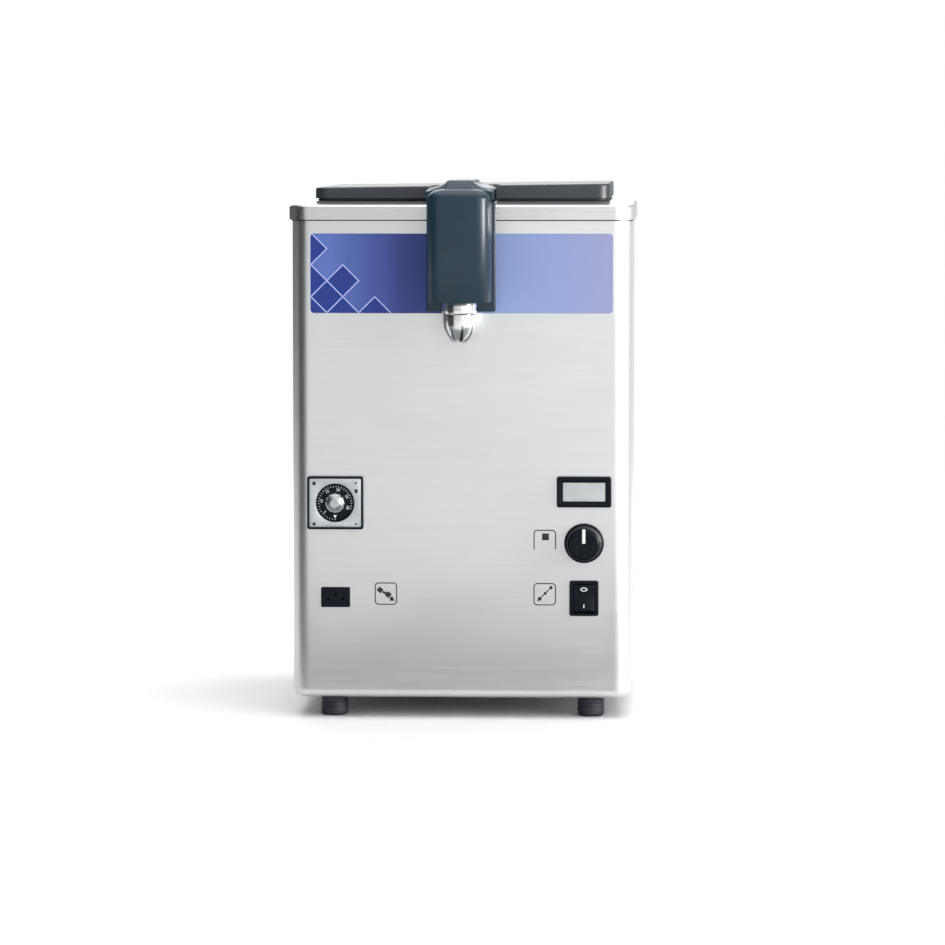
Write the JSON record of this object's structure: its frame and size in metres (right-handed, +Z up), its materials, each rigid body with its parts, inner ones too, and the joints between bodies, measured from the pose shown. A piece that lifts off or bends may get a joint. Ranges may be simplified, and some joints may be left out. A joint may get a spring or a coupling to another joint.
{
  "type": "cream dispenser",
  "caption": "Counter-top whipped-cream and soft-ice dispenser: stainless cabinet, lift-off lid over a chilled tub, and a removable whipping head with a star nozzle.",
  "frame": {"origin": "middle of the machine on the surface that it stands on", "axes": "+Z up, -Y towards the user (front panel, head and controls), +X to the user's right"},
  "size_m": [0.3014, 0.41, 0.4698],
  "materials": {
    "stainless": "fine brushed stainless steel sheet",
    "polished_steel": "polished stainless steel",
    "zinc_steel": "zinc-plated pressed steel",
    "black_plastic": "semi-gloss moulded black plastic",
    "slate_plastic": "satin moulded dark grey plastic",
    "panel_black": "black panel-instrument plastic",
    "silver_plastic": "silver-painted instrument face",
    "display_grey": "unlit liquid-crystal window",
    "blue_film": "printed polyester film",
    "rubber": "moulded black rubber",
    "foam": "rigid insulating foam",
    "copper": "bare copper pipe",
    "black_enamel": "black enamelled steel",
    "aluminium": "mill-finish aluminium",
    "white_plastic": "food-safe white plastic",
    "board_green": "glass-fibre circuit board with components",
    "clear_hose": "translucent flexible hose"
  },
  "bodies": {
    "cabinet": {"outer_shell": "stainless", "top_deck": "stainless", "rear_panel": "stainless", "base_pan": "zinc_steel", "foot_front_left": "rubber", "foot_front_right": "rubber", "foot_rear_left": "rubber", "foot_rear_right": "rubber", "wall_buffer_left": "rubber", "wall_buffer_right": "rubber", "rear_screw_1": "zinc_steel", "rear_screw_2": "zinc_steel", "rear_screw_3": "zinc_steel", "rear_screw_4": "zinc_steel", "front_band": "blue_film", "timer_case": "silver_plastic", "thermometer_case": "panel_black", "thermometer_window": "display_grey", "rocker_frame": "panel_black", "foot_switch_socket": "panel_black", "air_valve": "aluminium", "air_hose": "clear_hose", "tub": "polished_steel", "insulation": "foam", "evaporator_coil": "copper", "compressor": "black_enamel", "condenser_fins": "aluminium", "condenser_coil": "copper", "discharge_line": "copper", "suction_line": "copper", "filter_drier": "copper", "fan_shroud": "zinc_steel", "fan_motor": "black_enamel", "control_board": "board_green", "run_capacitor": "white_plastic", "mains_inlet": "panel_black", "pump_motor": "zinc_steel", "motor_bracket": "zinc_steel", "pump_well": "stainless"},
    "lid": {"lid": "slate_plastic", "lid_gasket": "rubber"},
    "head": {"pump_body": "white_plastic", "pump_cover": "white_plastic", "suction_tube": "polished_steel", "delivery_tube": "polished_steel", "head_cover": "black_plastic", "head_back_plate": "black_plastic", "labyrinth_tube": "white_plastic", "baffle_core": "white_plastic"},
    "nozzle": {"nozzle_collar": "polished_steel", "star_nozzle": "polished_steel"},
    "drive_gear": {"drive_gear": "polished_steel"},
    "driven_gear": {"driven_gear": "polished_steel"},
    "motor_shaft": {"drive_shaft": "polished_steel"},
    "fan_rotor": {"fan_blades": "black_plastic"},
    "timer_dial": {"timer_dial": "panel_black"},
    "air_knob": {"air_knob": "panel_black"},
    "air_needle": {"air_needle": "polished_steel"},
    "power_button": {"rocker_button": "panel_black"}
  },
  "joints": [
    {"name": "lid_lift", "type": "slide", "parent": "cabinet", "child": "lid", "axis": [0, 0, 1], "range_m": [0, 0.15]},
    {"name": "head_lift", "type": "slide", "parent": "cabinet", "child": "head", "axis": [0, 0, 1], "range_m": [0, 0.2]},
    {"name": "nozzle_turn", "type": "hinge", "parent": "head", "child": "nozzle", "pos_m": [0, -0.172, 0.3544], "axis": [0, 0, 1], "range_deg": [0, 90]},
    {"name": "motor_spin", "type": "hinge", "parent": "cabinet", "child": "motor_shaft", "pos_m": [-0.0075, -0.0925, 0.3], "axis": [0, 0, 1], "continuous": true},
    {"name": "drive_gear_spin", "type": "hinge", "parent": "head", "child": "drive_gear", "pos_m": [-0.0075, -0.0925, 0.4523], "axis": [0, 0, 1], "continuous": true},
    {"name": "driven_gear_spin", "type": "hinge", "parent": "head", "child": "driven_gear", "pos_m": [0.0075, -0.0925, 0.4523], "axis": [0, 0, 1], "continuous": true},
    {"name": "fan_spin", "type": "hinge", "parent": "cabinet", "child": "fan_rotor", "pos_m": [-0.072, 0.138, 0.097], "axis": [0, 1, 0], "continuous": true},
    {"name": "timer_set", "type": "hinge", "parent": "cabinet", "child": "timer_dial", "pos_m": [-0.11, -0.1384, 0.1887], "axis": [0, 1, 0], "range_deg": [0, 290]},
    {"name": "air_knob_turn", "type": "hinge", "parent": "cabinet", "child": "air_knob", "pos_m": [0.1068, -0.1356, 0.1539], "axis": [0, 1, 0], "range_deg": [-150, 150]},
    {"name": "air_needle_feed", "type": "slide", "parent": "cabinet", "child": "air_needle", "axis": [0, 1, 0], "range_m": [-0.0006, 0.0006]},
    {"name": "power_rocker", "type": "hinge", "parent": "cabinet", "child": "power_button", "pos_m": [0.1068, -0.1345, 0.1058], "axis": [1, 0, 0], "range_deg": [0, 16]}
  ],
  "couplings": [
    {"joint": "drive_gear_spin", "follows": "motor_spin", "ratio": 1},
    {"joint": "driven_gear_spin", "follows": "motor_spin", "ratio": -1},
    {"joint": "air_needle_feed", "follows": "air_knob_turn", "m_per_rad": 0.000159}
  ]
}
